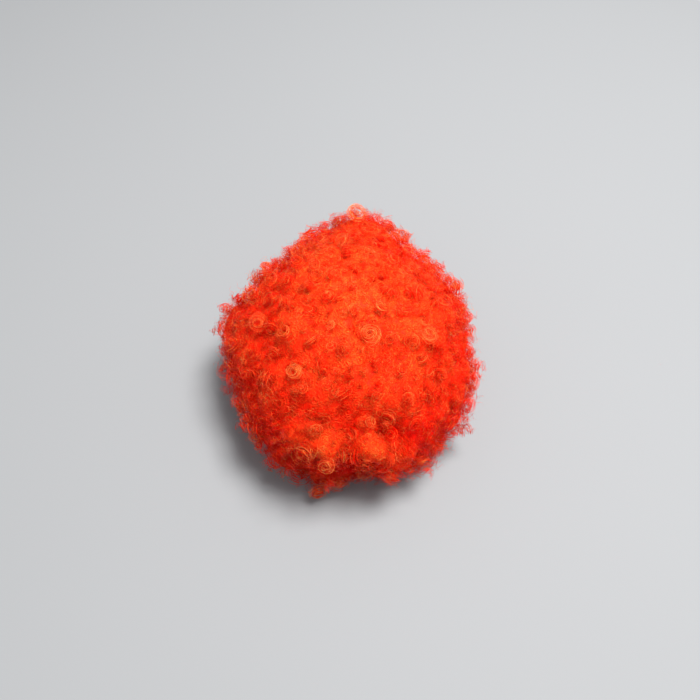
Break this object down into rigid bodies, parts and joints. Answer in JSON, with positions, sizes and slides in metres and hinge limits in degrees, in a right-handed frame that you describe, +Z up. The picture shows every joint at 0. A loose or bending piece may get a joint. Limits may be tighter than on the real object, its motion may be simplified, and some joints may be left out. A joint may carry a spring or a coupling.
{
  "type": "curly wig",
  "caption": "Round curly party wig: a hollow stretch cap under rows of springy ringlets sewn on as wefts, worn over the head.",
  "frame": {"origin": "on the ground under the middle of the box that holds the wig", "axes": "+Z up, the wearer's forehead towards -Y, the wearer's left towards +X"},
  "size_m": [0.2926, 0.3378, 0.1812],
  "materials": {
    "curls": "glossy synthetic fibre in tight curls",
    "cap_knit": "matt stretch knit"
  },
  "bodies": {
    "root": {"cap": "cap_knit", "crown_curls": "curls", "weft_1": "curls", "weft_2": "curls", "weft_3": "curls", "weft_4": "curls", "hem_weft": "curls"}
  },
  "joints": []
}
